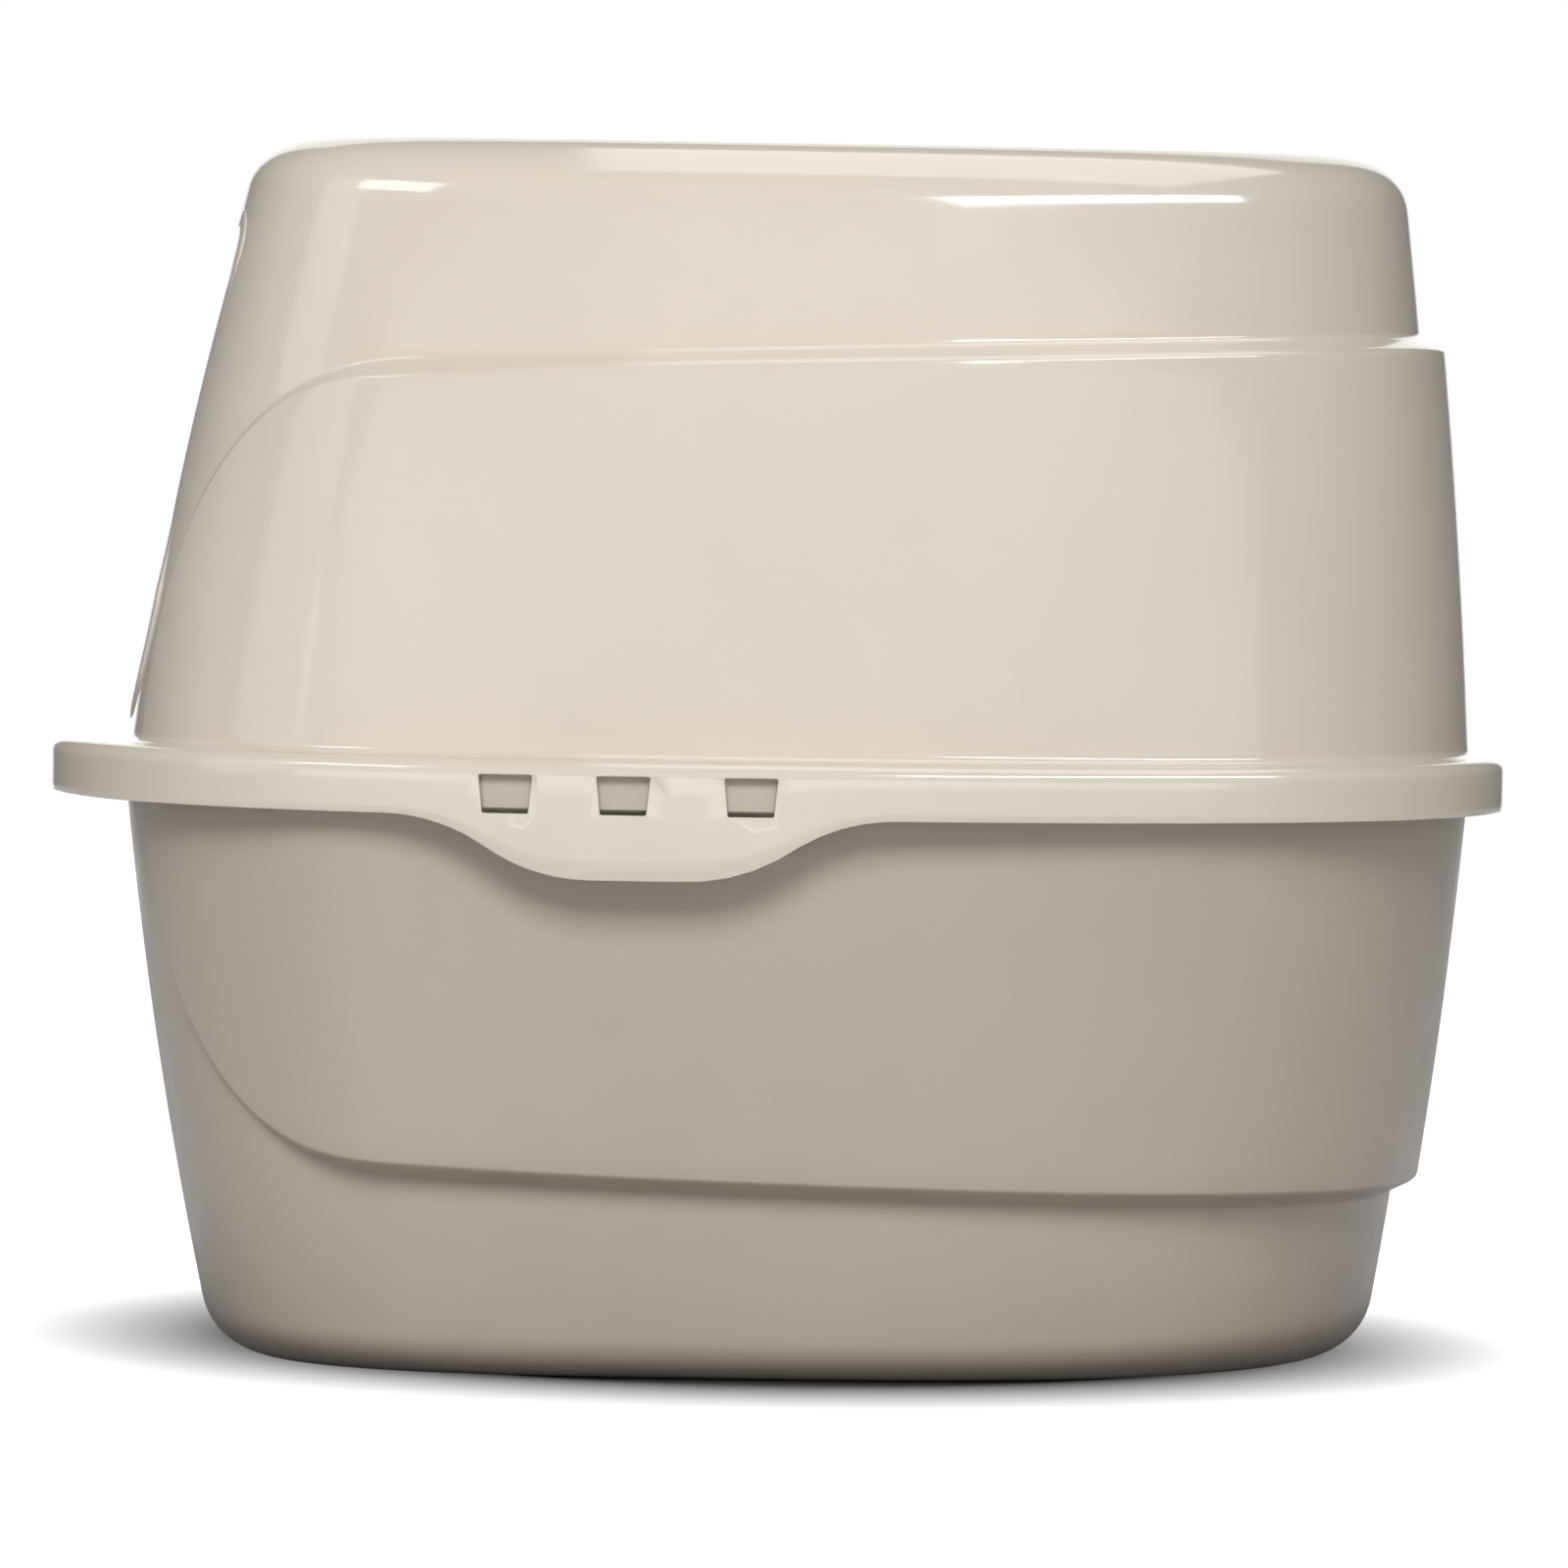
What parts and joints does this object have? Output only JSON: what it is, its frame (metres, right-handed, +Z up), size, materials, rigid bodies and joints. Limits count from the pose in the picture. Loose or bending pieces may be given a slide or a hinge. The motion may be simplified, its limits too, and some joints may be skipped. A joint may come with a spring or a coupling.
{
  "type": "cat litter box with hood",
  "caption": "Enclosed cat litter box: deep pan, lift-off hood with swinging entrance flap, folding carry handle and hinged filter vent.",
  "frame": {"origin": "on the floor, at the middle of the box's outline", "axes": "+X runs along the box from the entrance to the back, +Y runs across it, +Z is up"},
  "size_m": [0.533, 0.428, 0.4383],
  "materials": {
    "pan_plastic": "satin taupe polypropylene",
    "hood_plastic": "glossy cream polypropylene",
    "flap_plastic": "clear smoked polystyrene",
    "fitting_plastic": "satin taupe polypropylene",
    "pin_nylon": "natural nylon",
    "carbon_foam": "black carbon-loaded foam"
  },
  "bodies": {
    "pan": {"litter_pan": "pan_plastic"},
    "hood": {"hood": "hood_plastic", "flap_pin_left": "pin_nylon", "flap_pin_right": "pin_nylon", "handle_pin_front": "pin_nylon", "handle_pin_back": "pin_nylon"},
    "flap": {"entrance_flap": "flap_plastic"},
    "handle": {"carry_handle": "fitting_plastic"},
    "filter_vent": {"filter_cover": "fitting_plastic", "carbon_filter": "carbon_foam", "filter_basket": "fitting_plastic"}
  },
  "joints": [
    {"name": "hood_lift", "type": "slide", "parent": "pan", "child": "hood", "axis": [0, 0, 1], "range_m": [0, 0.26]},
    {"name": "flap_swing", "type": "hinge", "parent": "hood", "child": "flap", "pos_m": [-0.186, 0, 0.3965], "axis": [0, 1, 0], "range_deg": [-75, 75]},
    {"name": "handle_fold", "type": "hinge", "parent": "hood", "child": "handle", "pos_m": [0.015, -0.024, 0.4321], "axis": [1, 0, 0], "range_deg": [0, 90]},
    {"name": "filter_vent_lid", "type": "hinge", "parent": "hood", "child": "filter_vent", "pos_m": [0.1795, 0, 0.4345], "axis": [0, 1, 0], "range_deg": [0, 104]}
  ]
}
